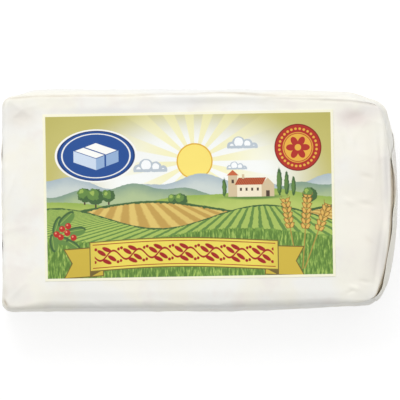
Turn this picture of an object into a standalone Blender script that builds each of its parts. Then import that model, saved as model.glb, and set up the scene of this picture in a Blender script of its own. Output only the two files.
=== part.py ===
"""A half block of soft taleggio cheese, shut in its paper wrap and lying flat with the label up.

Metres, +Z up, origin at the middle of the base. +X runs along the pack, to the end whose fold has
sprung open, and +Y runs across it, to the back edge. Each piece is first laid out on a straight
block. shaped() then rounds its corners and edges, and settled() gives each point its place on the
real block, which has slumped, bowed and tapered inside its paper.
"""

import math

import bmesh
import bpy
from mathutils import Matrix, Vector

# The straight block, before the soft cheese settles.
LEFT, RIGHT = -0.0980, 0.0955
FRONT, BACK = -0.0540, 0.0524
HEIGHT = 0.0450
PITCH = 0.0085

# Its corners seen from above, and how round the paper turns over the top edge at each side.
CORNER_RADIUS = 0.0056
END_RADIUS = 0.0022
FRONT_RADIUS = 0.0055
BACK_RADIUS = 0.0016
BASE_RADIUS = 0.0026
ARC_STEPS = 2

# How far the soft block has settled: its sides swell between the ends, which pinch them, it tapers
# to the right, where its end is bowed, and its top is uneven.
FRONT_BULGE = 0.0015
BACK_BULGE = 0.0031
LEFT_BULGE = 0.0004
RIGHT_BULGE = 0.0024
FRONT_BOW, BACK_BOW = 0.0088, 0.0064
BOW_POWER = 2.5
TAPER = 0.0020
PINCH = 0.0010
PINCH_REACH = 0.0190
CROWN = 0.0009
DENT = 0.0004
DENT_LENGTH, DENT_WIDTH = 0.071, 0.047

# The end folds: a flap turned down from the top, and one turned up over it from the base.
PAPER = 0.0004
SUNK = 0.0004
FLAP_REACH = 0.0385
FLAP_INSET = 0.0046
FLAP_FLARE = 0.2
STEEP, SLANTED = 0.15, 0.85
FLAP_STEPS_ACROSS, FLAP_STEPS_UP = 14, 7
SPRUNG = 0.0019

# The label, stuck on a little askew.
LABEL_LENGTH, LABEL_WIDTH = 0.1455, 0.0840
LABEL_MIDDLE = Vector((-0.0055, 0.0025, 0))
LABEL_TURN = math.radians(1.0)
LABEL_THICK = 0.0003
LABEL_GAP = 0.0003
LABEL_PITCH = 0.0085

WHITE_PAPER = (0.86, 0.85, 0.79)
PRINTED_PAPER = (0.52, 0.54, 0.24)
SHARP = math.radians(40)


def clear_scene():
    for thing in list(bpy.data.objects):
        bpy.data.objects.remove(thing)


def clamp(low, high, value):
    return min(high, max(low, value))


def step(low, high, value):
    """0 at low, 1 at high, and a smooth step between them."""
    share = clamp(0.0, 1.0, (value - low) / (high - low))
    return share * share * (3 - 2 * share)


def mix(first, second, share):
    return first + (second - first) * share


def shaped(point, off=0.0):
    """Where a point on the straight block lies once its corners and edges are round.

    off is how far outside that surface, along its normal, the point is then moved.
    """
    core = Vector((
        clamp(LEFT + CORNER_RADIUS, RIGHT - CORNER_RADIUS, point.x),
        clamp(FRONT + CORNER_RADIUS, BACK - CORNER_RADIUS, point.y),
    ))
    outward = point.xy - core
    reach = max(abs(outward.x), abs(outward.y))
    outward.normalize()

    side_radius = FRONT_RADIUS if outward.y < 0 else BACK_RADIUS
    top_radius = END_RADIUS * outward.x ** 2 + side_radius * outward.y ** 2
    radius = mix(BASE_RADIUS, top_radius, step(HEIGHT / 3, 2 * HEIGHT / 3, point.z))
    radius = max(radius, BACK_RADIUS)

    section = Vector((reach, point.z))
    middle = Vector((min(reach, CORNER_RADIUS - radius), clamp(radius, HEIGHT - radius, point.z)))
    section = middle + (section - middle).normalized() * (radius + off)
    place = core + outward * section.x
    return Vector((place.x, place.y, section.y))


def settled(point):
    """Where a point of the straight pack lies on the slumped, bowed and tapered one."""
    x, y, z = point
    at_back, at_front = step(0, BACK, y), step(0, FRONT, y)
    at_right, at_left = step(0, RIGHT, x), step(0, LEFT, x)
    at_top = step(HEIGHT / 3, HEIGHT, z)
    swell = math.sin(math.pi * clamp(0.0, 1.0, z / HEIGHT))
    bow = (BACK_BOW if y > 0 else FRONT_BOW) * abs(y / FRONT) ** BOW_POWER * at_right ** 3
    pinch = step(PINCH_REACH, 0, min(x - LEFT, RIGHT - x))
    back = BACK_BULGE * swell * (1 - pinch) - PINCH * pinch - TAPER * at_right ** 3
    front = FRONT_BULGE * swell - TAPER * at_right

    wave = 2 * math.pi * x / DENT_LENGTH + 1
    ripple = 2 * math.pi * (y / DENT_WIDTH + x / DENT_LENGTH / 2)
    dome = (1 - (x / LEFT) ** 2) * (1 - (y / FRONT) ** 2)
    return Vector((
        x + RIGHT_BULGE * swell * at_right - LEFT_BULGE * swell * at_left - bow,
        y + back * at_back - front * at_front,
        z + at_top * (CROWN * dome + DENT * math.sin(wave) * math.cos(ripple)),
    ))


def even_places(low, high, pitch):
    """Places about a pitch apart between low and high, without the two ends."""
    count = max(1, round((high - low) / pitch))
    return [mix(low, high, n / count) for n in range(1, count)]


def loops_along(low, high):
    """Places of the edge loops along one side of the block: close together where its edges are round."""
    arcs = [
        radius * (1 - math.tan(math.pi / 4 * n / ARC_STEPS))
        for radius in (CORNER_RADIUS, END_RADIUS)
        for n in range(ARC_STEPS)
    ]
    between = even_places(low + CORNER_RADIUS, high - CORNER_RADIUS, PITCH)
    return [low + a for a in arcs] + between + [high - a for a in arcs]


def cut_box(low, high, places):
    """A box from low to high, with an edge loop at each place along X, Y and Z."""
    mesh = bmesh.new()
    bmesh.ops.create_cube(mesh, size=1)
    bmesh.ops.scale(mesh, vec=high - low, verts=mesh.verts)
    bmesh.ops.translate(mesh, vec=(low + high) / 2, verts=mesh.verts)
    for axis, along in enumerate(places):
        normal = Vector(float(axis == n) for n in range(3))
        for place in along:
            whole = mesh.verts[:] + mesh.edges[:] + mesh.faces[:]
            bmesh.ops.bisect_plane(mesh, geom=whole, plane_co=normal * place, plane_no=normal)
    return mesh


def material_of(name, colour, roughness):
    material = bpy.data.materials.new(name)
    material.use_nodes = True
    shader = material.node_tree.nodes["Principled BSDF"]
    shader.inputs["Base Color"].default_value = (*colour, 1)
    shader.inputs["Roughness"].default_value = roughness
    shader.inputs["Metallic"].default_value = 0
    return material


def object_of(name, mesh, material):
    """The bmesh as an object of the scene, with its faces outwards and shaded smooth."""
    bmesh.ops.recalc_face_normals(mesh, faces=mesh.faces)
    data = bpy.data.meshes.new(name)
    mesh.to_mesh(data)
    mesh.free()
    data.shade_smooth()
    data.materials.append(material)
    made = bpy.data.objects.new(name, data)
    bpy.context.scene.collection.objects.link(made)
    return made


def make_block(material):
    """The block of cheese in its paper, without the end folds."""
    low, high = Vector((LEFT, FRONT, 0)), Vector((RIGHT, BACK, HEIGHT))
    mesh = cut_box(low, high, [loops_along(a, b) for a, b in zip(low, high)])
    for vertex in mesh.verts:
        vertex.co = settled(shaped(vertex.co))
    return object_of("wrapped_cheese", mesh, material)


def lie_flat(across, up):
    return 0.0


def stand_off(across, up):
    """How far the sprung flap stands off: most at its free edge, and nothing at its back corner."""
    return SPRUNG * step(0.1, 0.9, up) * step(0.9, 0.1, across)


def make_flap(name, end, from_top, layers, slants, lift, material):
    """A trapezoid of folded paper over one end, its root sunk in the block so that they fuse.

    across runs from 0 at the front to 1 at the back, and up from 0 at the fold to 1 at the free edge.
    slants are how steeply its front and back sides run in.
    """
    steps_across, steps_up = even_places(0, 1, 1 / FLAP_STEPS_ACROSS), even_places(0, 1, 1 / FLAP_STEPS_UP)
    mesh = cut_box(Vector((0, 0, 0)), Vector((1, 1, 1)), [[], steps_across, steps_up])
    for vertex in mesh.verts:
        outer, across, up = vertex.co
        reach = up * FLAP_REACH
        front = FRONT + FLAP_INSET + reach * slants[0]
        back = BACK - FLAP_INSET - reach * slants[1]
        thick = mix(0.8 * SUNK, SUNK + PAPER * layers, step(0, FLAP_FLARE, up))
        spot = Vector((end, mix(front, back, across), HEIGHT - reach if from_top else reach))
        vertex.co = settled(shaped(spot, lift(across, up) - SUNK + outer * thick))
    return object_of(name, mesh, material)


def fuse(block, others):
    """Joins the others to the block as one closed body, and removes them."""
    folds = bpy.data.collections.new("end_folds")
    for other in others:
        folds.objects.link(other)
    union = block.modifiers.new("end_folds", "BOOLEAN")
    union.operation = "UNION"
    union.operand_type = "COLLECTION"
    union.collection = folds
    union.solver = "EXACT"
    bpy.context.view_layer.objects.active = block
    bpy.ops.object.modifier_apply(modifier=union.name)
    block.data.set_sharp_from_angle(angle=SHARP)
    for other in others:
        bpy.data.objects.remove(other)
    bpy.data.collections.remove(folds)


def make_label(material):
    """The paper label, a thin sheet that follows the top of the block."""
    half = Vector((LABEL_LENGTH / 2, LABEL_WIDTH / 2, 0))
    places = [even_places(-side, side, LABEL_PITCH) for side in half.xy]
    mesh = cut_box(-half, half + Vector((0, 0, LABEL_THICK)), [*places, []])
    turn = Matrix.Rotation(LABEL_TURN, 3, "Z")
    for vertex in mesh.verts:
        above = LABEL_GAP + vertex.co.z
        spot = turn @ vertex.co + LABEL_MIDDLE
        spot.z = HEIGHT
        vertex.co = Vector((spot.x, spot.y, settled(spot).z + above))
    return object_of("label", mesh, material)


def put_on_origin(pieces):
    """Moves the pieces together, so that the origin is the middle of the base of their box."""
    corners = [vertex.co for piece in pieces for vertex in piece.data.vertices]
    low = Vector(min(corner[n] for corner in corners) for n in range(3))
    high = Vector(max(corner[n] for corner in corners) for n in range(3))
    for piece in pieces:
        piece.location = -Vector(((low.x + high.x) / 2, (low.y + high.y) / 2, low.z))


def main():
    clear_scene()
    paper = material_of("white_wrap_paper", WHITE_PAPER, 0.55)
    printed = material_of("printed_label_paper", PRINTED_PAPER, 0.45)
    block = make_block(paper)
    even = (SLANTED, SLANTED)
    fuse(block, [
        make_flap("right_top_flap", RIGHT, True, 1, even, lie_flat, paper),
        make_flap("right_base_flap", RIGHT, False, 2, (STEEP, SLANTED), stand_off, paper),
        make_flap("left_top_flap", LEFT, True, 1, even, lie_flat, paper),
        make_flap("left_base_flap", LEFT, False, 2, even, lie_flat, paper),
    ])
    put_on_origin([block, make_label(printed)])


main()
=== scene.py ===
import math
import random

import bmesh
import bpy
import numpy as np
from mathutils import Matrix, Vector, noise


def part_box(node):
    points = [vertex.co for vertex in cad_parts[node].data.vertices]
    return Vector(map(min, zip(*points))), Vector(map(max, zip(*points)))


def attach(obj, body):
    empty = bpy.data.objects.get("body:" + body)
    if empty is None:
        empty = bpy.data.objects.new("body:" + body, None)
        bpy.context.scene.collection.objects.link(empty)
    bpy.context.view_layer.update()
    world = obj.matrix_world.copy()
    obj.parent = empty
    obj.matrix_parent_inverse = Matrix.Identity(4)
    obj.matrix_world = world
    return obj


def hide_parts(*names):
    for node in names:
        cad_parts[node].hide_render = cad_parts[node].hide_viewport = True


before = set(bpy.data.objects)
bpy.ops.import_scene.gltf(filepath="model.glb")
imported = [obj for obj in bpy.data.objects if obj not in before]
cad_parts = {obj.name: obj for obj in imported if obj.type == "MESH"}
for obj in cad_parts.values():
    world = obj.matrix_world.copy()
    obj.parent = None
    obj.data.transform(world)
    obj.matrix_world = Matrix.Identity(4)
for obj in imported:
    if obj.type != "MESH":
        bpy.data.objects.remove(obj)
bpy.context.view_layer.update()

# The wrap
# One sheet of coated white paper, drawn tight round half a block of soft cheese and shut at both
# ends. The ripe cheese has slumped in it, so the sides swell, the right end bows, and the paper lies
# in broad soft waves with pressed creases by its edges.

# The straight block, before the soft cheese settles: how far its sides will swell, what the folded
# layers add to an end, and its faces. UNDER is how high the overlap underneath holds it.
pack_low, pack_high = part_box("wrapped_cheese")
LEFT_BULGE = 0.0004
FRONT_BULGE = 0.0015
BACK_BULGE = 0.0031
RIGHT_BULGE = 0.0024
END_LAYERS = 0.0008
LEFT = pack_low.x + LEFT_BULGE + END_LAYERS
RIGHT = LEFT + 0.1935
FRONT = pack_low.y + FRONT_BULGE
BACK = pack_high.y - BACK_BULGE
HEIGHT = 0.0450
UNDER = 0.0004

# How round the corners are from above, and the edges of the top and of the base. The paper turns over
# the front edge in a wide round, which tightens towards both front corners.
CORNER_RADIUS = 0.0056
END_RADIUS = 0.0022
FRONT_RADIUS, LEFT_FRONT_RADIUS, RIGHT_FRONT_RADIUS = 0.0044, 0.0018, 0.0030
LEFT_TIGHTENS, RIGHT_TIGHTENS = (-0.076, -0.092), (0.068, 0.086)
BACK_RADIUS = 0.0010
BASE_RADIUS = 0.0026

# How far the block has settled: the bow and taper of its right end, the pinched ends, and the top.
FRONT_BOW, BACK_BOW = 0.0088, 0.0064
BOW_POWER = 2.5
TAPER = 0.0020
PINCH = 0.0010
PINCH_REACH = 0.0190
CROWN = 0.0009
DENT = 0.0004
DENT_LENGTH, DENT_WIDTH = 0.071, 0.047


def smooth(low, high, value):
    """0 at low, 1 at high, and a smooth step between them."""
    share = np.clip((value - low) / (high - low), 0, 1)
    return share * share * (3 - 2 * share)


def rounded(points, off):
    """Where points of the straight block lie once its corners and edges are round, moved out by off."""
    core = np.clip(
        points[:, :2],
        (LEFT + CORNER_RADIUS, FRONT + CORNER_RADIUS),
        (RIGHT - CORNER_RADIUS, BACK - CORNER_RADIUS),
    )
    outward = points[:, :2] - core
    reach = np.abs(outward).max(axis=1)
    outward = outward / np.maximum(np.linalg.norm(outward, axis=1), 1e-12)[:, None]

    along, height = points[:, 0], points[:, 2]
    front_radius = FRONT_RADIUS + (LEFT_FRONT_RADIUS - FRONT_RADIUS) * smooth(*LEFT_TIGHTENS, along)
    front_radius += (RIGHT_FRONT_RADIUS - FRONT_RADIUS) * smooth(*RIGHT_TIGHTENS, along)
    side_radius = np.where(outward[:, 1] < 0, front_radius, BACK_RADIUS)
    top_radius = END_RADIUS * outward[:, 0] ** 2 + side_radius * outward[:, 1] ** 2
    radius = BASE_RADIUS + (top_radius - BASE_RADIUS) * smooth(HEIGHT / 3, 2 * HEIGHT / 3, height)
    radius = np.maximum(radius, BACK_RADIUS)

    middle = np.stack([
        np.minimum(reach, CORNER_RADIUS - radius),
        np.clip(height, radius, HEIGHT - radius),
    ], axis=1)
    way = np.stack([reach, height], axis=1) - middle
    way = way / np.maximum(np.linalg.norm(way, axis=1), 1e-12)[:, None]
    section = middle + way * (radius + off)[:, None]
    return np.column_stack([core + outward * section[:, :1], section[:, 1]])


def settled(points):
    """Where points of the straight pack lie on the slumped, bowed and tapered one."""
    x, y, z = points.T
    at_back, at_front = smooth(0, BACK, y), smooth(0, FRONT, y)
    at_right, at_left = smooth(0, RIGHT, x), smooth(0, LEFT, x)
    at_top = smooth(HEIGHT / 3, HEIGHT, z)
    swell = np.sin(np.pi * np.clip(z / HEIGHT, 0, 1))
    bow = np.where(y > 0, BACK_BOW, FRONT_BOW) * np.abs(y / FRONT) ** BOW_POWER * at_right ** 3
    pinch = smooth(PINCH_REACH, 0, np.minimum(x - LEFT, RIGHT - x))
    back = BACK_BULGE * swell * (1 - pinch) - PINCH * pinch - TAPER * at_right ** 3
    front = FRONT_BULGE * swell - TAPER * at_right
    wave = 2 * np.pi * x / DENT_LENGTH + 1
    ripple = 2 * np.pi * (y / DENT_WIDTH + x / DENT_LENGTH / 2)
    dome = (1 - (x / LEFT) ** 2) * (1 - (y / FRONT) ** 2)
    return np.stack([
        x + RIGHT_BULGE * swell * at_right - LEFT_BULGE * swell * at_left - bow,
        y + back * at_back - front * at_front,
        z + at_top * (CROWN * dome + DENT * np.sin(wave) * np.cos(ripple)),
    ], axis=1)


# The waves of the loose paper: size across, and height.
WAVES = ((0.046, 0.00045), (0.019, 0.00020), (0.0085, 0.00007))

# Crumples: how far apart their ridges are, their height and width, and how far apart they break off.
# Fewest are on the flat top, more by its edges, and most on the sides, where bumps are pressed in.
CRUMPLE_SIZE, CRUMPLE_HEIGHT, CRUMPLE_WIDTH, CRUMPLE_BREAKS = 0.018, 0.00034, 0.12, 0.020
ON_TOP, BY_EDGES, ON_SIDES = 0.18, 0.62, 1.5
PRESSED_IN = 0.65

# How far the soft shoulders drop, over the front edge and over the right end.
SHOULDER, END_SHOULDER = 0.0009, 0.0013

# Where gathered paper fills out the left corners, and the right one is pressed in: place, and how far.
CORNER_FOLDS = ((-0.0980, 0.0510, 0.0009), (-0.0980, -0.0530, 0.0010), (0.0875, -0.0525, -0.0009))
CORNER_FOLD_SIZE = 0.0045

# How far the front is drawn in towards the right end.
FRONT_TUCK = 0.0010

# Where the back edge of the top stands out: the middle of it, half its length, and how far.
EDGE_SWELL_PLACE, EDGE_SWELL_LENGTH, EDGE_SWELL = 0.006, 0.024, 0.0011

# Creases pressed in the paper: both ends, half width, height (less than 0 for a groove), and how much
# brown painted shade darkens it. Ends of two numbers are seen from above, near the top.
CREASES = [
    ((-0.0975, 0.0505), (-0.0800, 0.0519), 0.0005, -0.00055, 0.52),
    ((-0.0820, 0.0518), (-0.0590, 0.0521), 0.0005, -0.00055, 0.52),
    ((-0.0620, 0.0521), (-0.0330, 0.0521), 0.0005, -0.00055, 0.56),
    ((-0.0360, 0.0521), (-0.0180, 0.0531), 0.0005, -0.00045, 0.40),
    ((-0.0200, 0.0531), (-0.0020, 0.0529), 0.0005, -0.00045, 0.44),
    ((-0.0050, 0.0529), (0.0120, 0.0540), 0.0005, -0.00045, 0.44),
    ((0.0080, 0.0541), (0.0220, 0.0536), 0.0006, -0.00060, 0.62),
    ((0.0180, 0.0537), (0.0290, 0.0527), 0.0006, -0.00065, 0.62),
    ((0.0260, 0.0529), (0.0390, 0.0521), 0.0006, -0.00060, 0.48),
    ((0.0360, 0.0521), (0.0680, 0.0518), 0.0005, -0.00045, 0.36),
    ((0.0340, 0.0508), (0.0560, 0.0500), 0.0006, -0.00020, 0.05),
    ((0.0540, 0.0502), (0.0760, 0.0492), 0.0006, -0.00035, 0.28),
    ((0.0740, 0.0494), (0.0890, 0.0472), 0.0006, -0.00045, 0.28),
    ((0.0905, 0.0360, 0.0450), (0.0935, -0.0120, 0.0450), 0.0007, 0.00020, 0.0),
    ((0.0925, -0.0120, 0.0450), (0.0885, -0.0420, 0.0450), 0.0007, 0.00022, 0.0),
    ((0.0890, 0.0300, 0.0450), (0.0915, -0.0140, 0.0450), 0.0008, -0.00025, 0.06),
    ((0.0910, -0.0100, 0.0450), (0.0860, -0.0430, 0.0450), 0.0008, -0.00025, 0.06),
    ((0.0860, 0.0410, 0.0450), (0.0900, 0.0080, 0.0450), 0.0009, 0.00012, 0.0),
    ((0.0946, 0.0260, 0.0440), (0.0952, -0.0060, 0.0440), 0.0011, 0.00050, 0.0),
    ((-0.0976, 0.0466, 0.0441), (-0.0958, 0.0496, 0.0443), 0.0007, -0.00045, 0.90),
    ((-0.0975, -0.0492, 0.0441), (-0.0955, -0.0526, 0.0441), 0.0007, -0.00090, 1.00),
    ((-0.0972, -0.0420, 0.0446), (-0.0966, -0.0500, 0.0446), 0.0011, -0.00020, 0.20),
    ((-0.0960, 0.0500, 0.0450), (-0.0820, 0.0410, 0.0450), 0.0012, 0.00020, 0.0),
    ((-0.0960, -0.0500, 0.0450), (-0.0860, -0.0400, 0.0450), 0.0012, 0.00018, 0.0),
    ((0.0840, 0.0430, 0.0450), (0.0720, 0.0400, 0.0450), 0.0030, -0.00060, 0.0),
    ((-0.0930, 0.0400, 0.0450), (-0.0850, 0.0395, 0.0450), 0.0030, -0.00040, 0.0),
    ((0.0740, -0.0425, 0.0450), (0.0795, -0.0442, 0.0450), 0.0010, 0.00036, 0.0),
    ((0.0785, -0.0398, 0.0450), (0.0850, -0.0410, 0.0450), 0.0009, -0.00030, 0.05),
    ((0.0725, -0.0462, 0.0450), (0.0765, -0.0448, 0.0450), 0.0008, -0.00026, 0.05),
    ((0.0785, -0.0008, 0.0450), (0.0865, -0.0028, 0.0450), 0.0010, -0.00034, 0.07),
    ((0.0712, 0.0008, 0.0450), (0.0762, -0.0016, 0.0450), 0.0010, 0.00034, 0.0),
    ((0.0712, 0.0318, 0.0450), (0.0730, 0.0240, 0.0450), 0.0009, -0.00030, 0.09),
    ((0.0748, 0.0335, 0.0450), (0.0768, 0.0268, 0.0450), 0.0009, 0.00034, 0.0),
    ((0.0795, 0.0130, 0.0450), (0.0862, 0.0110, 0.0450), 0.0009, -0.00038, 0.12),
    ((0.0820, -0.0180, 0.0450), (0.0862, -0.0222, 0.0450), 0.0009, -0.00030, 0.12),
]
draw = random.Random(5)


def add_crease(start, end, widths, heights):
    """A crease with no painted shade in it, of a drawn half width, and a drawn height up or down."""
    width = draw.uniform(*widths)
    CREASES.append((start, end, width, draw.choice((-1, 1)) * draw.uniform(*heights), 0.0))


def add_gathers(count, runs_from_end, heights):
    """Creases in the long sides, some fanning out from where the ends were tucked in."""
    for n in range(count):
        side = FRONT if n % 2 else BACK
        at_right = n % 4 < 2
        start_x = RIGHT - 0.004 if at_right else LEFT + 0.002
        if not runs_from_end:
            start_x = draw.uniform(-0.08, 0.07)
        start_z = draw.uniform(0.003, 0.041)
        length = draw.uniform(0.008, 0.036)
        end_x = start_x - length if at_right else start_x + length
        end_z = min(0.043, max(0.003, start_z + draw.uniform(-0.6, 0.6) * length))
        add_crease((start_x, side, start_z), (end_x, side, end_z), (0.0006, 0.0012), heights)


def add_end_creases(count):
    """Creases across the end folds."""
    for n in range(count):
        end = RIGHT if n % 2 else LEFT
        start_y, start_z = draw.uniform(-0.044, 0.042), draw.uniform(0.004, 0.036)
        end_y = start_y + draw.uniform(-0.020, 0.020)
        end_z = min(0.041, max(0.003, start_z + draw.uniform(-0.020, 0.020)))
        add_crease((end, start_y, start_z), (end, end_y, end_z), (0.0005, 0.0011), (0.00014, 0.00044))


add_gathers(36, True, (0.00018, 0.00060))
add_gathers(22, False, (0.00018, 0.00040))
add_end_creases(26)


def crease_share(points, start, end, width):
    """How near points are to a crease: 1 on it and 0 away from it."""
    near_top = 1 if len(start) == 3 else smooth(0.034, 0.040, points[:, 2])
    start, end, points = np.array(start), np.array(end), points[:, :len(start)]
    run = end - start
    share = np.clip((points - start) @ run / (run @ run), 0, 1)
    gap = np.linalg.norm(points - start - share[:, None] * run, axis=1)
    fading = np.sin(np.pi * np.clip(share, 0.02, 0.98)) ** 0.5
    return near_top * fading * np.exp(-(gap / width) ** 2)


def paper_height(points):
    """How far the loose paper stands off the block at points of the settled surface."""
    rise = np.zeros(len(points))
    for size, height in WAVES:
        rise += height * np.array([noise.noise(p / size) for p in map(Vector, points)])
    x, y, z = points.T
    on_sides, on_top = smooth(0.043, 0.036, z), smooth(0.030, 0.043, z)

    ridges = np.empty(len(points))
    for n, point in enumerate(points):
        near, second = noise.voronoi(Vector(point) / CRUMPLE_SIZE)[0][:2]
        ridges[n] = np.exp((near - second) / CRUMPLE_WIDTH)
    broken = np.array([noise.noise(p / CRUMPLE_BREAKS) for p in map(Vector, points + 0.2)])
    by_edge = np.maximum(smooth(0.070, 0.098, np.abs(x)), smooth(0.047, 0.054, np.abs(y)))
    amount = (ON_TOP + BY_EDGES * by_edge + ON_SIDES * on_sides) * smooth(-0.30, 0.16, broken)
    rise += CRUMPLE_HEIGHT * amount * ridges

    for start, end, width, height, _ in CREASES:
        rise += height * crease_share(points, start, end, width)
    rise = np.where(rise > 0, rise * (1 - PRESSED_IN * on_sides), rise)

    at_front = smooth(-0.040, -0.050, y) * smooth(0.0440, 0.0380, z)
    rise -= FRONT_TUCK * smooth(0.030, 0.082, x) * at_front
    soft = smooth(-0.088, -0.070, x) * (1 - 0.5 * smooth(0.070, 0.086, x))
    rise -= SHOULDER * on_top * soft * smooth(FRONT + 0.0095, FRONT + 0.0020, y)
    straight_x = x + FRONT_BOW * np.abs(y / FRONT) ** BOW_POWER
    rise -= END_SHOULDER * on_top * smooth(RIGHT - 0.013, RIGHT - 0.002, straight_x)
    at_back_edge = smooth(0.035, 0.0425, z) * smooth(0.0475, 0.0525, y)
    rise += EDGE_SWELL * at_back_edge * np.exp(-((x - EDGE_SWELL_PLACE) / EDGE_SWELL_LENGTH) ** 2)
    for corner_x, corner_y, bump in CORNER_FOLDS:
        rise += bump * np.exp(-((x - corner_x) ** 2 + (y - corner_y) ** 2) / CORNER_FOLD_SIZE ** 2)
    return rise * smooth(0.0003, 0.004, z)


def lay_paper(straight, off):
    """Points of the straight pack as they lie on the real one, off outside the wrap's own sheet."""
    flush = settled(rounded(straight, 0.0))
    places = settled(rounded(straight, paper_height(flush) + off))
    places[:, 2] = UNDER + places[:, 2] * (1 - UNDER / HEIGHT)
    return places


def place_vertices(piece, places):
    piece.data.vertices.foreach_set("co", np.ascontiguousarray(places, np.float32).ravel())
    piece.data.update()


def places_of(piece):
    places = np.empty(len(piece.data.vertices) * 3, np.float32)
    piece.data.vertices.foreach_get("co", places)
    return places.reshape(-1, 3).astype(float)


def cut_across(piece, axis, cuts):
    """Cuts loops across all the edges that run along an axis, first some and then some between those."""
    bpy.ops.object.mode_set(mode="EDIT")
    bpy.ops.mesh.select_mode(type="EDGE")
    for count in cuts:
        bpy.ops.mesh.select_all(action="DESELECT")
        mesh = bmesh.from_edit_mesh(piece.data)
        for edge in mesh.edges:
            run = edge.verts[1].co - edge.verts[0].co
            edge.select_set(abs(run[axis]) > 0.5 * run.length)
        bmesh.update_edit_mesh(piece.data)
        bpy.ops.mesh.subdivide(number_cuts=count)
    bpy.ops.object.mode_set(mode="OBJECT")


# How much closer the loops lie towards the edges, and how much wider than a crease its shade is painted.
EDGE_CROWDING = 0.27
SHADE_SPREAD = 1.3

bpy.ops.object.select_all(action="DESELECT")
bpy.ops.mesh.primitive_cube_add(size=2)
wrap = bpy.context.object
wrap.name = "wrap"
for axis, cuts in enumerate(((14, 14), (11, 10), (6, 6))):
    cut_across(wrap, axis, cuts)
spread = places_of(wrap)
spread *= 1 + EDGE_CROWDING * (1 - spread ** 2)
low, high = np.array((LEFT, FRONT, 0)), np.array((RIGHT, BACK, HEIGHT))
place_vertices(wrap, lay_paper((low + high) / 2 + spread * (high - low) / 2, 0.0))
bpy.ops.object.shade_smooth()


def paint_shade(piece, amount):
    piece.data.attributes.new("painted_shade", "FLOAT", "POINT").data.foreach_set("value", amount)


# Brown painted shade along the creases, as much as each crease's shade.
laid = places_of(wrap)
painted_shade = sum(
    shade * crease_share(laid, start, end, SHADE_SPREAD * width)
    for start, end, width, _, shade in CREASES if shade
)
paint_shade(wrap, np.minimum(painted_shade, 1))


class Wire:
    """An output socket. Each operator on it adds the Math node for it."""

    def __init__(self, nodes, socket):
        self.nodes = nodes
        self.socket = socket

    def maths(self, operation, *others):
        sockets = dict(enumerate((self, *others)))
        return self.nodes.node("ShaderNodeMath", {"operation": operation}, sockets)

    def __add__(self, other):
        return self.maths("ADD", other)

    def __sub__(self, other):
        return self.maths("SUBTRACT", other)

    def __rsub__(self, other):
        return -self + other

    def __mul__(self, other):
        return self.maths("MULTIPLY", other)

    def __truediv__(self, other):
        return self.maths("DIVIDE", other)

    def __neg__(self):
        return self.maths("MULTIPLY", -1.0)

    def __abs__(self):
        return self.maths("ABSOLUTE")

    __radd__ = __add__
    __rmul__ = __mul__

    def least(self, other):
        return self.maths("MINIMUM", other)

    def most(self, other):
        return self.maths("MAXIMUM", other)

    def away(self, other):
        """The length of the vector that has these two parts."""
        return (self * self + other * other).maths("SQRT")


class Nodes:
    """The nodes of a material or of the sky."""

    def __init__(self, tree):
        self.tree = tree

    def node(self, kind, settings, sockets, output=0):
        """Adds a node, with its settings and the values or wires of its sockets, and gives an output."""
        made = self.tree.nodes.new(kind)
        for name, value in settings.items():
            setattr(made, name, value)
        for name, value in sockets.items():
            if isinstance(value, Wire):
                self.tree.links.new(value.socket, made.inputs[name])
            else:
                made.inputs[name].default_value = value
        return Wire(self, made.outputs[output])

    def vector(self, operation, *sockets, output="Vector"):
        settings = {"operation": operation}
        return self.node("ShaderNodeVectorMath", settings, dict(enumerate(sockets)), output)

    def axis(self, place, name):
        """The X, Y or Z of a place."""
        return self.node("ShaderNodeSeparateXYZ", {}, {0: place}, name)

    def cloud(self, place, size, detail=2.0, roughness=0.5, output="Fac"):
        """Soft noise from 0 to 1, its blots about as large as size."""
        sockets = {"Vector": place, "Scale": 1 / size, "Detail": detail, "Roughness": roughness}
        return self.node("ShaderNodeTexNoise", {}, sockets, output)

    def ramp(self, wire, low, high):
        """0 below low and 1 above high, with a smooth step between."""
        sockets = {"Value": wire, "From Min": low, "From Max": high}
        return self.node("ShaderNodeMapRange", {"interpolation_type": "SMOOTHSTEP"}, sockets)

    def mix(self, share, first, second):
        """The first colour, painted over with the second where share is 1."""
        first = first if isinstance(first, Wire) else (*first, 1)
        second = second if isinstance(second, Wire) else (*second, 1)
        # The node's colours go in at its sockets 6 and 7, and come out at its output 2.
        sockets = {0: share, 6: first, 7: second}
        return self.node("ShaderNodeMix", {"data_type": "RGBA"}, sockets, 2)


class Finish(Nodes):
    """A material, its shader and its nodes."""

    def __init__(self, name, colour, roughness):
        self.material = bpy.data.materials.new(name)
        self.material.use_nodes = True
        super().__init__(self.material.node_tree)
        self.shader = self.tree.nodes["Principled BSDF"]
        self.shader.inputs["Base Color"].default_value = (*colour, 1)
        self.shader.inputs["Roughness"].default_value = roughness
        self.place = self.node("ShaderNodeTexCoord", {}, {}, "Object")

    def feed(self, name, wire):
        self.tree.links.new(wire.socket, self.shader.inputs[name])

    def emboss(self, height):
        """Raises the surface by a height in metres."""
        bump = self.node("ShaderNodeBump", {}, {"Height": height, "Distance": 1.0})
        self.feed("Normal", bump)


CREAM = (0.895, 0.875, 0.780)
COOL_WHITE = (0.885, 0.880, 0.840)
ROSY_WHITE = (0.850, 0.805, 0.755)
# The brown of the painted shade in the creases and in the gap at the right end.
SHADE_BROWN = (0.60, 0.53, 0.42)
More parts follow.
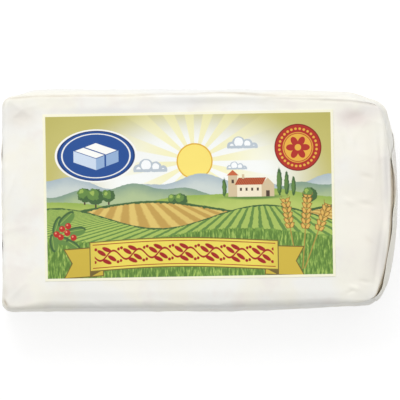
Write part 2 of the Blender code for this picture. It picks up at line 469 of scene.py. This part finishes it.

# Patches of painted shade where the paper dips and turns from the light: place, size, tint and strength.
SHADE_PATCHES = (
    ((0.0840, -0.0050, 0.0450), (0.0150, 0.0550, 0.0120), (0.885, 0.842, 0.760), 0.6),
    ((0.0775, 0.0412, 0.0460), (0.0120, 0.0060, 0.0100), (0.74, 0.66, 0.62), 0.9),
    ((0.0880, 0.0460, 0.0450), (0.0100, 0.0060, 0.0100), (0.82, 0.78, 0.74), 0.8),
    ((-0.0885, 0.0410, 0.0450), (0.0110, 0.0085, 0.0100), (0.80, 0.75, 0.67), 0.7),
    ((-0.0930, -0.0470, 0.0450), (0.0110, 0.0060, 0.0100), (0.80, 0.79, 0.75), 0.6),
    ((0.0000, 0.0565, 0.0300), (0.3000, 0.0035, 0.0600), (0.83, 0.84, 0.835), 0.7),
    ((0.0880, -0.0260, 0.0450), (0.0050, 0.0200, 0.0100), (0.79, 0.75, 0.70), 0.7),
    ((-0.0150, 0.0480, 0.0450), (0.0300, 0.0030, 0.0100), (0.81, 0.80, 0.77), 0.6),
    ((-0.0440, 0.0436, 0.0450), (0.0460, 0.0038, 0.0100), (0.74, 0.735, 0.725), 0.8),
    ((0.0925, 0.0120, 0.0450), (0.0028, 0.0240, 0.0100), (0.72, 0.70, 0.67), 0.8),
    ((0.0905, -0.0240, 0.0450), (0.0034, 0.0150, 0.0100), (0.72, 0.70, 0.66), 0.7),
)
SHADE_PATCH_FRAY = 0.012

# Blots of the cooler and rosier white: size, detail and roughness. Then those of the paper's sheen.
COOL_BLOTS = (0.034, 3.0, 0.55)
ROSY_BLOTS = (0.021, 3.0, 0.6)
SHEEN_BLOTS = 0.009

# Paper fibres, and fine crinkles, which are bent, broken off, and faint but on the sides.
FIBRE_SIZE, FIBRE_HEIGHT = 0.0007, 0.000012
CRINKLE_SIZE, CRINKLE_HEIGHT, CRINKLE_WIDTH, CRINKLE_BREAKS = 0.0095, 0.00013, 0.16, 0.015
CRINKLE_WARP_SIZE, CRINKLE_WARP = 0.012, (0.006, 0.006, 0.006)
ELSEWHERE = 0.15


def make_wrap_paper():
    """Thin white coated paper, mottled by the rind, with painted shade, fibres and fine crinkles."""
    paper = Finish("white_wrap_paper", CREAM, 0.5)
    place = paper.place
    cool = paper.ramp(paper.cloud(place, *COOL_BLOTS), 0.42, 0.62)
    rosy = paper.ramp(paper.cloud(place, *ROSY_BLOTS), 0.52, 0.70)
    colour = paper.mix(cool, CREAM, COOL_WHITE)
    colour = paper.mix(rosy * 0.75, colour, ROSY_WHITE)
    # Painted shade, in patches.
    for spot, size, tint, strength in SHADE_PATCHES:
        gap = paper.vector("DIVIDE", paper.vector("SUBTRACT", place, spot), size)
        far = paper.vector("LENGTH", gap, output="Value") + 0.5 * paper.cloud(place, SHADE_PATCH_FRAY)
        colour = paper.mix(paper.ramp(far, 1.35, 0.35) * strength, colour, tint)
    # Brown painted shade along the creases and in the gap at the right end.
    painted_shade = paper.node("ShaderNodeAttribute", {"attribute_name": "painted_shade"}, {}, "Fac")
    paper.feed("Base Color", paper.mix(painted_shade, colour, SHADE_BROWN))

    fibres = paper.cloud(place, FIBRE_SIZE, 3.0, 0.6)
    warp = paper.cloud(place, CRINKLE_WARP_SIZE, output="Color")
    warped = paper.vector("MULTIPLY_ADD", warp, CRINKLE_WARP, place)
    crinkle = paper.node("ShaderNodeTexVoronoi", {"feature": "DISTANCE_TO_EDGE"}, {
        "Vector": warped, "Scale": 1 / CRINKLE_SIZE,
    })
    pressed = paper.ramp(crinkle, 0.0, CRINKLE_WIDTH)
    broken = paper.ramp(paper.cloud(place, CRINKLE_BREAKS, 1.0), 0.42, 0.60)
    height = paper.axis(place, "Z")
    on_sides = paper.ramp(height, 0.0445, 0.0415) * paper.ramp(height, 0.0004, 0.0040)
    loose = ELSEWHERE + (1 - ELSEWHERE) * on_sides
    paper.emboss(fibres * FIBRE_HEIGHT - pressed * broken * loose * CRINKLE_HEIGHT)
    paper.feed("Roughness", 0.44 + 0.16 * paper.cloud(place, SHEEN_BLOTS))
    return paper.material


wrap_paper = make_wrap_paper()


def finish_wrap_piece(piece):
    piece.data.materials.append(wrap_paper)
    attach(piece, "root")
    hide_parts("wrapped_cheese")


finish_wrap_piece(wrap)

# The end folds
# At each end the paper is tucked in from both sides and turned down from the top, and a last flap is
# turned up over it from the base. The right end's last flap has sprung open along its free edge, and
# the paper under it is darkened with brown painted shade.

SHEET = 0.0002
FLAP_REACH, SPRUNG_FLAP_REACH = 0.0385, 0.0428
SOFT_TURN = math.radians(50)

# How far the turned down and the turned up flaps lie off the end, and how soon they leave their fold.
INNER_OFF, OUTER_OFF = 0.00018, 0.00050
ROOT, TIGHT_ROOT = 0.12, 0.04

# The insets of a flap's front and back side at its fold, each with how steeply the side runs in.
EVEN_SIDES = (0.0046, 0.85, 0.0046, 0.85)
TUCKED_SIDES = (0.0010, 0.40, 0.0046, 0.85)
SPRUNG_SIDES = (0.0012, 0.03, 0.0046, 0.60)

# How unevenly the free edge is cut, how far a turned up flap's sides lift and its free edge is
# pressed down, and how far the sprung flap's back side lifts.
FREE_EDGE_WOBBLE = 0.012
EDGE_LIFT = 0.00014
EDGE_PRESS = 0.00011
SIDE_LIFT = 0.00008

# How far the sprung flap gapes at its free edge: place across the pack, and width.
GAPES = np.array((
    (-0.0500, 0.0003), (-0.0480, 0.0009), (-0.0455, 0.0014), (-0.0430, 0.0010), (-0.0400, 0.0006),
    (-0.0350, 0.0003), (-0.0300, 0.0001), (-0.0260, 0.0002), (-0.0220, 0.0004), (-0.0150, 0.0009),
    (-0.0090, 0.0007), (-0.0050, 0.0010), (-0.0010, 0.0019), (0.0050, 0.0023), (0.0110, 0.0021),
    (0.0160, 0.0015), (0.0210, 0.0007), (0.0260, 0.0001),
))


def lie_flat(across, y, up):
    return 0.0


def lift_edges(across, y, up):
    """The slanted sides stand off a little, here and there, and the free edge is pressed down."""
    sides = smooth(0.07, 0, np.minimum(across, 1 - across)) * smooth(0, 0.3, up) * smooth(0.95, 0.80, up)
    return EDGE_LIFT * sides * (1 + np.sin(across * 21 + up * 8)) - EDGE_PRESS * smooth(0.88, 1, up)


def stand_out(across, y, up):
    """The tucked paper swells a little into the open edge over it."""
    here = smooth(-0.039, -0.033, y) * smooth(0.02, 0.09, up) * smooth(0.16, 0.09, up)
    return 0.45 * np.interp(y, *GAPES.T) * here


def gape(across, y, up):
    """The free edge stands off by its gapes, and the back side by next to nothing."""
    side = smooth(0.06, 0, 1 - across) * smooth(0, 0.3, up)
    return np.interp(y, *GAPES.T) * smooth(0.90, 1.0, up) + SIDE_LIFT * side * (1 + np.sin(up * 9))


def thicken(piece, thickness, offset=-1):
    """Gives a sheet its thickness, with smooth faces and crisp cut edges."""
    paper = piece.modifiers.new("paper", "SOLIDIFY")
    paper.thickness = thickness
    paper.offset = offset
    bpy.ops.object.modifier_apply(modifier=paper.name)
    bpy.ops.object.shade_smooth_by_angle(angle=SOFT_TURN)


def make_flap(name, end, from_top, reach, sides, root, off, lift):
    """A trapezoid of paper over one end, from its fold (up is 0) to its free edge (up is 1)."""
    bpy.ops.mesh.primitive_grid_add(x_subdivisions=140, y_subdivisions=56, size=1)
    flap = bpy.context.object
    flap.name = name
    across, up = (places_of(flap)[:, :2] + 0.5).T
    front_inset, front_slant, back_inset, back_slant = sides
    wobble = np.array([noise.noise((4 * a, 0.5, end * 90)) for a in across])
    run = up * reach * (1 + FREE_EDGE_WOBBLE * wobble)
    front = FRONT + front_inset + run * front_slant
    back = BACK - back_inset - run * back_slant
    y = front + (back - front) * across
    straight = np.stack([np.full(len(up), end), y, HEIGHT - run if from_top else run], axis=1)
    risen = smooth(0, root, up)
    place_vertices(flap, lay_paper(straight, off * risen - SHEET * (1 - risen) + lift(across, y, up)))
    if (flap.data.polygons[0].normal.x > 0) != (end > 0):
        flap.data.flip_normals()
    thicken(flap, SHEET, 0)
    finish_wrap_piece(flap)
    return flap


make_flap("left_top_flap", LEFT, True, FLAP_REACH, EVEN_SIDES, ROOT, INNER_OFF, lie_flat)
make_flap("left_base_flap", LEFT, False, FLAP_REACH, EVEN_SIDES, ROOT, OUTER_OFF, lift_edges)
tucked = make_flap(
    "right_top_flap", RIGHT, True, FLAP_REACH, TUCKED_SIDES, TIGHT_ROOT, INNER_OFF, stand_out,
)
make_flap("right_base_flap", RIGHT, False, SPRUNG_FLAP_REACH, SPRUNG_SIDES, ROOT, OUTER_OFF, gape)

# Brown painted shade darkens the tucked flap where the sprung one gapes over it.
SHADED_UP_TO, UNSHADED_FROM = 0.014, 0.021
SHADED_BELOW, UNSHADED_ABOVE = 0.0432, 0.0440
_, y, z = places_of(tucked).T
paint_shade(tucked, smooth(UNSHADED_FROM, SHADED_UP_TO, y) * smooth(UNSHADED_ABOVE, SHADED_BELOW, z))

# The overlap underneath
# The two long edges of the wrap meet under the pack, one over the other. The pack rests on the lower
# one, a strip of the same paper, which lies flat but for a slight wander of its cut edge.

OVERLAP_FRONT, OVERLAP_BACK = -0.021, 0.013
OVERLAP_LEFT, OVERLAP_RIGHT = LEFT + 0.004, RIGHT - 0.008
EDGE_WANDER, CUT_EDGE_LIFT = 0.0006, 0.00008

bpy.ops.mesh.primitive_grid_add(x_subdivisions=150, y_subdivisions=24, size=1)
overlap = bpy.context.object
overlap.name = "underside_overlap"
along, across = places_of(overlap)[:, :2].T + 0.5
wander = np.array([noise.noise((a * 7, 2.5, 0.5)) for a in along])
climb = (UNDER - 1.5 * SHEET) * smooth(0.5, 0, across)
place_vertices(overlap, np.stack([
    OVERLAP_LEFT + along * (OVERLAP_RIGHT - OVERLAP_LEFT),
    OVERLAP_FRONT + across * (OVERLAP_BACK - OVERLAP_FRONT) + EDGE_WANDER * wander * across,
    SHEET / 2 + climb + CUT_EDGE_LIFT * (1 + wander) * smooth(0.7, 1, across),
], axis=1))
thicken(overlap, SHEET, 0)
finish_wrap_piece(overlap)

# The label
# A printed paper label with a slight gloss and a narrow cream border. It is cut square, and glued to
# the top of the wrap a little askew.

LABEL_LENGTH, LABEL_WIDTH = 0.1444, 0.0830
LABEL_MIDDLE = (-0.0055, 0.0025)
LABEL_TURN = math.radians(1.0)
LABEL_SHEET = 0.00018
LABEL_RISE = 0.00022

bpy.ops.mesh.primitive_grid_add(x_subdivisions=160, y_subdivisions=92, size=1)
label = bpy.context.object
label.name = "printed_label"
along, across = places_of(label)[:, :2].T * ((LABEL_LENGTH,), (LABEL_WIDTH,))
spots = np.stack([
    LABEL_MIDDLE[0] + along * math.cos(LABEL_TURN) - across * math.sin(LABEL_TURN),
    LABEL_MIDDLE[1] + along * math.sin(LABEL_TURN) + across * math.cos(LABEL_TURN),
    np.full(len(along), HEIGHT),
], axis=1)
laid = lay_paper(spots, LABEL_RISE)
laid[:, :2] = spots[:, :2]
place_vertices(label, laid)
thicken(label, LABEL_SHEET)


def ink(red, green, blue):
    """A printed colour, from its three values out of 255."""
    return tuple(((value / 255 + 0.055) / 1.055) ** 2.4 for value in (red, green, blue))


# The print is drawn in millimetres from the middle of the label, layer over layer. It stops short of
# the cut edges, which leaves the border, and its colours meet in slightly soft edges.
PRINT_HALF = (70.95, 40.25)
PRINT_EDGE = 0.14
MILLIMETRES = (0.001, 0.001, 0.001)
BORDER = ink(248, 245, 220)
OLIVE, DEEP_OLIVE, PALE = ink(198, 191, 114), ink(182, 174, 92), ink(247, 249, 246)

print_paper = Finish("printed_label_paper", OLIVE, 0.4)
print_paper.shader.inputs["Specular IOR Level"].default_value = 0.18
on_label = print_paper.node("ShaderNodeMapping", {"vector_type": "TEXTURE"}, {
    "Vector": print_paper.place, "Location": (*LABEL_MIDDLE, 0.0),
    "Rotation": (0, 0, LABEL_TURN), "Scale": MILLIMETRES,
})
u, v = print_paper.axis(on_label, "X"), print_paper.axis(on_label, "Y")
on_label = print_paper.node("ShaderNodeCombineXYZ", {}, {"X": u, "Y": v})
rough_edge = print_paper.cloud(on_label, 1.6) - 0.5
blotches = print_paper.cloud(on_label, 6.0, 3.0)
printed = [OLIVE]


def lay(mask, colour):
    """Prints a colour over what is printed so far, where the mask is 1."""
    printed.append(print_paper.mix(mask, printed[-1], colour))


def inside(distance, soft=PRINT_EDGE):
    """1 where a distance in millimetres is below 0."""
    return print_paper.ramp(distance, soft, -soft)


def seen_from(centre, turn, half):
    """The drawing's coordinates about a centre, turned and scaled."""
    return print_paper.node("ShaderNodeMapping", {"vector_type": "TEXTURE"}, {
        "Vector": on_label, "Location": (*centre, 0.0), "Rotation": (0, 0, turn), "Scale": (*half, 1.0),
    })


def axes_at(centre, turn=0.0):
    spot = seen_from(centre, turn, (1.0, 1.0))
    return print_paper.axis(spot, "X"), print_paper.axis(spot, "Y")


def oval(centre, half, turn=0.0):
    """Roughly the distance outside an oval."""
    far = print_paper.vector("LENGTH", seen_from(centre, turn, half), output="Value")
    return (far - 1) * min(half)


def disc(centre, radius):
    return print_paper.vector("DISTANCE", on_label, (*centre, 0.0), output="Value") - radius


def box(centre, half, turn=0.0):
    across, up = axes_at(centre, turn)
    return (abs(across) - half[0]).most(abs(up) - half[1])


def wave(value, length, start, height):
    """A sine wave of a value, a length, a start in radians and a height."""
    return (value * (2 * math.pi / length) + start).maths("SINE") * height


def back_and_forth(value, reach):
    """How far a value is from the nearest even multiple of reach, up to reach."""
    return value.maths("PINGPONG", reach)


def repeating(value, step):
    """A value counted afresh from 0 at each step."""
    return value.maths("FLOORED_MODULO", step)


# The ground: olive, fading to a pale glow in the middle and deeper towards the corners.
lay(inside(oval((2, 7), (64, 36)) + 6, 11.0), PALE)
lay(print_paper.ramp(oval((0, 0), (66, 40)), 4.0, 22.0) * 0.7, DEEP_OLIVE)

# The sun with its rays.
SUN, RAYS = (3.0, 17.0), 16
SUN_YELLOW, SUN_RIM, RAY_YELLOW = ink(250, 228, 120), ink(226, 178, 66), ink(246, 240, 176)
sun_x, sun_y = axes_at(SUN)
sun_far = disc(SUN, 9.0)
rays = (sun_y.maths("ARCTAN2", sun_x) * RAYS).maths("SINE")
rays = print_paper.ramp(rays, -0.25, 0.25) * print_paper.ramp(sun_far, 40.0, 1.5)
lay(rays * 0.75, RAY_YELLOW)
lay(inside(sun_far), SUN_RIM)
lay(inside(sun_far + 0.7), SUN_YELLOW)

# Clouds with flat bases.
CLOUD_GREY, CLOUD_WHITE = ink(188, 199, 208), ink(250, 252, 252)
for cloud_x, cloud_y, size in ((-19.0, 12.0, 1.0), (27.0, 23.0, 0.9), (24.0, 12.5, 0.6)):
    puffs = [
        disc((cloud_x + x * size, cloud_y + y * size), radius * size)
        for x, y, radius in ((-6.0, 1.2, 2.6), (-2.2, 3.0, 3.6), (2.6, 2.2, 3.0), (6.2, 1.0, 2.2))
    ]
    cloud = puffs[0].least(puffs[1]).least(puffs[2]).least(puffs[3])
    cloud = cloud.most(cloud_y - v) + rough_edge * 0.5
    lay(inside(cloud), CLOUD_GREY)
    lay(inside(cloud + 0.9 * size + 0.18 * (cloud_y + 4.5 * size - v)), CLOUD_WHITE)

# Rows of hills, the furthest first: crest, two waves, and the colours of the crest and of the foot.
for level, first, second, crest_colour, foot_colour in (
    (7.0, (74, 1.0, 2.6), (31, 0.4, 1.3), ink(172, 188, 196), ink(206, 215, 210)),
    (3.2, (92, 3.4, 2.2), (27, 1.7, 1.1), ink(132, 158, 140), ink(176, 194, 148)),
    (-1.0, (150, 0.2, 3.2), (49, 2.6, 0.9), ink(150, 178, 84), ink(186, 203, 110)),
):
    crest = level + wave(u, *first) + wave(u, *second) + rough_edge * 0.7
    under = crest - v
    haze = print_paper.ramp(under + blotches * 4, 1.0, 9.0)
    lay(inside(-under), print_paper.mix(haze, crest_colour, foot_colour))

# A farmhouse on the hill.
WALL, SHADED_WALL = ink(243, 232, 205), ink(214, 194, 158)
ROOF, ROOF_LINE = ink(200, 104, 64), ink(150, 66, 42)
WINDOW = ink(82, 66, 54)
LEAF_DARK, LEAF, LEAF_LIGHT = ink(72, 104, 62), ink(104, 140, 72), ink(158, 186, 92)
house_x, house_y = 31.0, 2.0
lay(inside(oval((house_x + 1, house_y - 3.2), (13.5, 1.2)), 0.5), LEAF)
tower_place, wing_place = house_x - 9.2, house_x + 8.2
lay(inside(box((tower_place, house_y + 2.4), (2.3, 5.4))), SHADED_WALL)
tower_x, tower_y = axes_at((tower_place, house_y + 7.6))
lay(inside((abs(tower_x) + tower_y * 1.1 - 3.0).most(-tower_y)), ROOF)
lay(inside(box((tower_place, house_y + 4.6), (0.6, 0.9))), WINDOW)
lay(inside(box((wing_place, house_y - 0.1), (3.2, 3.0))), SHADED_WALL)
gable_x, gable_y = axes_at((wing_place, house_y + 2.9))
lay(inside((abs(gable_x) + gable_y * 0.95 - 3.2).most(-gable_y)), SHADED_WALL)
lay(inside(box((house_x - 1.0, house_y), (6.1, 3.1))), WALL)
roof_x, roof_y = axes_at((house_x - 0.4, house_y + 4.6))
along_roof = roof_x - roof_y * 0.55
tiles = print_paper.ramp(back_and_forth(along_roof, 0.45), 0.12, 0.3)
roof = (abs(along_roof) - 6.9).most(abs(roof_y) - 1.75)
lay(inside(roof), print_paper.mix(tiles, ROOF_LINE, ROOF))
lay(inside(box((house_x - 4.0, house_y + 7.0), (0.6, 1.1))), SHADED_WALL)
panes = (back_and_forth(u - house_x + 5.2, 1.4) - 0.5).most(abs(v - house_y - 0.6) - 0.75)
lay(inside(panes.most(abs(u - house_x + 1.0) - 5.4)), WINDOW)
lay(inside(box((wing_place, house_y - 1.6), (0.9, 1.5))), WINDOW)

# Tall thin trees by the house and round ones on the hills: foot, half width and height.
for x, foot, half_width, height in (
    (45.0, -0.6, 1.3, 13.5), (48.6, -0.8, 1.2, 11.5), (52.0, -1.0, 1.1, 9.5), (17.6, -1.0, 1.1, 9.0),
):
    tree = oval((x, foot + height / 2), (half_width, height / 2)) + rough_edge * 0.8
    lay(inside(tree), LEAF_DARK)
    lay(inside(tree + 0.45 + 0.35 * (u - x)) * 0.8, LEAF)
for x, y, radius in (
    (-52.0, 1.0, 3.4), (-46.5, 0.0, 4.0), (-40.0, 0.4, 3.0),
    (-8.0, -1.6, 2.4), (-4.0, -2.0, 3.0), (60.0, -0.6, 3.6),
):
    lay(inside(box((x, y - radius), (0.4, 1.4))), WINDOW)
    tree = disc((x, y), radius) + rough_edge * 2.2
    lay(inside(tree), LEAF_DARK)
    lay(inside(disc((x - 0.3 * radius, y + 0.3 * radius), 0.72 * radius) + rough_edge * 2.6), LEAF)
    lay(inside(disc((x - 0.45 * radius, y + 0.5 * radius), 0.3 * radius) + rough_edge * 2.2), LEAF_LIGHT)

# A ripe field on the left, its rows running down to the front, with a hedge along its crest.
FIELD_GOLD, FIELD_TAN = ink(224, 196, 112), ink(196, 160, 84)
crest = -6.5 + wave(u, 120, 2.6, 3.4) + rough_edge * 0.5
rows = wave((u + 30) / (9.0 - v), 0.42, 0.0, 1.0) + rough_edge
rows = print_paper.ramp(rows, -0.4, 0.6)
lay(inside(v - crest), print_paper.mix(rows, FIELD_TAN, FIELD_GOLD))
lay(inside(abs(v - crest - 0.2) - 0.9 * blotches - 0.1 + rough_edge), LEAF_DARK)

# Rows of vines on the next hill, with a lower hedge.
VINE_GROUND = ink(170, 194, 98)
crest = -11.0 + wave(u, 104, 5.6, 5.4) + rough_edge * 0.5
rows = wave((u - 34) / (4.0 - v), 0.27, 0.0, 1.0) + rough_edge * 1.6
rows = print_paper.ramp(rows, 0.1, 0.6)
lay(inside(v - crest), print_paper.mix(rows, VINE_GROUND, LEAF))
lay(inside(abs(v - crest - 0.1) - 0.7 * blotches + 0.05 + rough_edge), LEAF_DARK)

# Long grass in front.
GRASS, GRASS_DARK, GRASS_LIGHT = ink(132, 168, 78), ink(94, 130, 58), ink(168, 194, 98)
drawn_out = print_paper.vector("MULTIPLY", on_label, (1.6, 0.35, 1.0))
blades = print_paper.cloud(drawn_out, 1.6, 2.0, 0.6)
crest = -19.5 + wave(u, 132, 0.4, 3.0) + (blades - 0.5) * 3.0
lay(inside(v - crest), print_paper.mix(print_paper.ramp(blades, 0.42, 0.60), GRASS_DARK, GRASS))
lay(inside(v - crest + 1.0) * print_paper.ramp(blades, 0.55, 0.66), GRASS_LIGHT)

# Ears of wheat at the right: foot, turn and length. A pair of grains and their awns is drawn once for
# both sides of the stalk, and repeats up it.
GRAIN, GRAIN_LINE, STALK = ink(226, 184, 96), ink(150, 104, 48), ink(176, 150, 72)
GRAIN_STEP, GRAIN_HALF, GRAIN_LEAN = 2.6, (0.95, 1.75), 0.5
for foot, turn, length in (
    ((50.0, -17.0), 0.16, 15.0), ((57.5, -17.5), -0.08, 17.0), ((64.0, -18.5), -0.36, 14.0),
):
    across, up = axes_at(foot, turn)
    side = abs(across)
    lay(inside((side - 0.28).most(up - length + 1).most(-up - 20)), STALK)
    step_up = repeating(up, GRAIN_STEP)
    awn = (abs(side - 1.5 - 0.42 * step_up) - 0.13).most(-up).most(up - length - 1.5)
    lay(inside(awn), GRAIN_LINE)
    grain_x, grain_y = side - 1.15, step_up - GRAIN_STEP / 2
    lean_x = grain_x * math.cos(GRAIN_LEAN) - grain_y * math.sin(GRAIN_LEAN)
    lean_y = grain_x * math.sin(GRAIN_LEAN) + grain_y * math.cos(GRAIN_LEAN)
    grain = (lean_x / GRAIN_HALF[0]).away(lean_y / GRAIN_HALF[1]) - 1
    grain = grain.most(-up).most(up - length)
    lay(inside(grain), GRAIN_LINE)
    lay(inside(grain + 0.28), GRAIN)

# A sprig of leaves and red berries at the left: places, half lengths and turns.
BERRY, BERRY_SHINE = ink(186, 48, 40), ink(238, 150, 120)
for x, y, half_length, turn in (
    (-66.0, -14.0, 5.0, 1.25), (-61.5, -10.5, 5.2, 0.75), (-56.5, -16.5, 5.0, 0.15),
    (-63.0, -21.0, 4.6, -0.30), (-68.0, -22.5, 4.6, 1.70), (-58.0, -23.5, 4.2, -0.60),
):
    leaf = oval((x, y), (half_length, half_length * 0.38), turn)
    across, up = axes_at((x, y), turn)
    lay(inside(leaf + rough_edge * 0.3), LEAF_DARK)
    lay(inside(leaf + 0.45 + 0.5 * up), LEAF)
    lay(inside((abs(up) - 0.14).most(leaf + 0.5)), LEAF_LIGHT)
for x, y in (
    (-63.4, -15.6), (-60.4, -14.2), (-60.9, -17.6), (-66.2, -18.2), (-64.2, -19.6), (-57.8, -20.0),
):
    lay(inside(disc((x, y), 1.55)), BERRY)
    lay(inside(disc((x - 0.45, y + 0.5), 0.45)), BERRY_SHINE)

# A yellow ribbon with a running vine between two lines, its ends folded behind.
RIBBON, RIBBON_SHADE, RIBBON_LINE = ink(238, 221, 96), ink(208, 182, 70), ink(118, 100, 52)
VINE_RED = ink(164, 40, 38)
RIBBON_REACH, RIBBON_HALF_HEIGHT = 47.0, 7.4
LINE = 0.5
FOLD_START, FOLD_HALF = 41.5, 1.3
TAIL_END, TAIL_DROP, NOTCH = 60.0, 2.6, 0.55
ribbon_u = u + 3.0
height = v + 29.5 - wave(u, 150, 1.9, 1.5)
for side in (-1, 1):
    out = ribbon_u * side
    from_edge = RIBBON_HALF_HEIGHT - abs(height + TAIL_DROP)
    tail = (-from_edge).most(out - TAIL_END + NOTCH * from_edge).most(40.0 - out)
    lay(inside(tail), RIBBON_LINE)
    lay(inside(tail + LINE), RIBBON_SHADE)
    fold = abs(height + RIBBON_HALF_HEIGHT + FOLD_HALF) - FOLD_HALF
    fold = fold.most(out - RIBBON_REACH).most(FOLD_START - out)
    lay(inside(fold.most(-height - RIBBON_HALF_HEIGHT - 0.48 * (out - FOLD_START))), RIBBON_LINE)
band = (abs(ribbon_u) - RIBBON_REACH).most(abs(height) - RIBBON_HALF_HEIGHT)
lay(inside(band), RIBBON_LINE)
lay(inside(band + LINE), RIBBON)
lay(inside(band + LINE) * print_paper.ramp(abs(ribbon_u), 34.0, 48.0) * 0.55, RIBBON_SHADE)
lay(inside((abs(abs(height) - 5.75) - 0.2).most(abs(ribbon_u) - 45.4)), VINE_RED)

# One stretch of the vine, which repeats along the ribbon: stem, leaves and berries.
STRETCH = 12.8
LEAF_HALF, BERRY_RADIUS = (2.5, 1.0), 0.75
along = repeating(ribbon_u + STRETCH / 2, STRETCH) - STRETCH / 2
vine = abs(height - wave(ribbon_u, STRETCH, 0.0, 2.3)) - 0.5
for x, y, turn in ((2.6, -1.5, -0.60), (-2.6, 1.5, -0.60), (0.0, 3.0, -0.46), (0.0, -3.0, -0.46)):
    lean_x = (along - x) * math.cos(turn) + (height - y) * math.sin(turn)
    lean_y = (height - y) * math.cos(turn) - (along - x) * math.sin(turn)
    vine = vine.least((lean_x / LEAF_HALF[0]).away(lean_y / LEAF_HALF[1]) - 1)
for x, y in ((5.9, 2.9), (-5.9, -2.9), (5.5, -3.4), (-5.5, 3.4)):
    vine = vine.least((along - x).away(height - y) - BERRY_RADIUS)
lay(inside(vine.most(abs(ribbon_u) - 44.5).most(abs(height) - 5.0)), VINE_RED)

# A blue oval plaque with a block of cheese on it, seen from a corner and cut across.
PLAQUE, PLAQUE_BLUE, PLAQUE_DEEP = (-46.0, 20.5), ink(38, 80, 150), ink(24, 54, 112)
BLOCK_TOP, BLOCK_LEFT, BLOCK_RIGHT = ink(250, 250, 246), ink(206, 220, 238), ink(150, 178, 214)
BLOCK_SLOPE = 0.36
plaque = oval(PLAQUE, (20.5, 13.2))
lay(inside(plaque), BLOCK_TOP)
lay(inside(plaque + 0.7), PLAQUE_DEEP)
lay(inside(plaque + 1.2), PLAQUE_BLUE)
lay(inside(abs(plaque + 2.3) - 0.22), BLOCK_TOP)
block_x, block_y = axes_at((PLAQUE[0], PLAQUE[1] + 2.6))
near_edge = abs(block_x) * BLOCK_SLOPE - 4.1
sides = (abs(block_x) - 11.2).most(near_edge - 5.6 - block_y).most(block_y - near_edge)
lay(inside(sides), print_paper.mix(inside(block_x), BLOCK_RIGHT, BLOCK_LEFT))
block_top = abs(block_x) * BLOCK_SLOPE + abs(block_y) - 3.75
lay(inside(block_top), BLOCK_TOP)
lay(inside((abs(block_x - 4.6) - 0.42).most(sides)), PLAQUE_BLUE)
lay(inside((abs(block_y + BLOCK_SLOPE * block_x + 0.44) - 0.28).most(block_top)), PLAQUE_BLUE)

# A round red and gold rosette, with beads round a flower.
ROSETTE = (54.5, 23.0)
ROSETTE_RED, ROSETTE_DARK, ROSETTE_GOLD = ink(178, 50, 40), ink(130, 34, 30), ink(232, 178, 70)
BEADS, BEAD_RING, BEAD_RADIUS = 28, 9.3, 0.62
PETAL_PAIRS = 3
rosette_x, rosette_y = axes_at(ROSETTE)
far = disc(ROSETTE, 0.0)
turn_about = rosette_y.maths("ARCTAN2", rosette_x)
lay(inside(far - 11.7), ROSETTE_DARK)
lay(inside(far - 11.2), ROSETTE_RED)
beads = repeating(turn_about * (BEADS / (2 * math.pi)), 1.0) - 0.5
lay(inside((beads * 2.0).away(far - BEAD_RING) - BEAD_RADIUS), ROSETTE_GOLD)
lay(inside(far - 7.6), ROSETTE_GOLD)
lay(inside(abs(far - 7.0) - 0.2), ROSETTE_RED)
petals = 2.9 * abs((turn_about * PETAL_PAIRS).maths("COSINE"))
lay(inside(far - 3.0 - petals), ROSETTE_RED)
lay(inside(far - 1.6), ROSETTE_GOLD)

# The cream border, and the grain and sheen of the printed paper.
PAPER_GRAIN, PAPER_GRAIN_HEIGHT = 0.5, 0.000006
lay(inside(-(abs(u) - PRINT_HALF[0]).most(abs(v) - PRINT_HALF[1])), BORDER)
print_paper.feed("Base Color", printed[-1])
print_paper.feed("Roughness", 0.36 + 0.12 * blotches)
print_paper.emboss(print_paper.cloud(on_label, PAPER_GRAIN, 3.0, 0.6) * PAPER_GRAIN_HEIGHT)
label.data.materials.append(print_paper.material)
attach(label, "root")
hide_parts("label")

# The studio
# A white floor that glows like a light table, a soft sky that is brightest above and behind the pack,
# a soft lamp on the same side, and a camera square above.

FLOOR_WHITE = (0.38, 0.38, 0.38)
FLOOR_GLOW = 0.67
WHITE = (1, 1, 1, 1)

# How bright the sky is where its tilt adds nothing, and how much it gains towards +X, +Y and +Z.
SKY_MIDDLE = 0.06
SKY_TILT = (-0.14, 0.48, 1.20)
LAMP_PLACE, LAMP_SIZE, LAMP_POWER = (-0.25, 0.8, 1.3), 0.5, 4

# The camera's picture is this wide, at this level over the floor.
CAMERA_PLACE = (-0.0001, 0.00025, 4.0)
VIEW_WIDTH, VIEW_LEVEL = 0.2000, 0.024

bpy.ops.mesh.primitive_plane_add(size=6)
floor = bpy.context.object
floor.name = "floor"
floor_paint = Finish("floor_white", FLOOR_WHITE, 0.9)
floor_paint.shader.inputs["Emission Color"].default_value = WHITE
floor_paint.shader.inputs["Emission Strength"].default_value = FLOOR_GLOW
floor.data.materials.append(floor_paint.material)

light = bpy.data.lights.new("key_light", "AREA")
light.size = LAMP_SIZE
light.energy = LAMP_POWER
lamp = bpy.data.objects.new("key_light", light)
lamp.location = LAMP_PLACE
lamp.rotation_euler = (-Vector(LAMP_PLACE)).to_track_quat("-Z", "Y").to_euler()
bpy.context.scene.collection.objects.link(lamp)

world = bpy.data.worlds.new("studio")
world.use_nodes = True
sky = Nodes(world.node_tree)
way = sky.node("ShaderNodeTexCoord", {}, {}, "Generated")
brightness = sky.vector("DOT_PRODUCT", way, SKY_TILT, output="Value") + SKY_MIDDLE
background = sky.tree.nodes["Background"]
background.inputs["Color"].default_value = WHITE
sky.tree.links.new(brightness.socket, background.inputs["Strength"])
bpy.context.scene.world = world
bpy.context.scene.view_settings.view_transform = "Standard"

camera_data = bpy.data.cameras.new("camera")
camera_data.lens = camera_data.sensor_width * (CAMERA_PLACE[2] - VIEW_LEVEL) / VIEW_WIDTH
camera = bpy.data.objects.new("camera", camera_data)
camera.location = CAMERA_PLACE
bpy.context.scene.collection.objects.link(camera)
bpy.context.scene.camera = camera
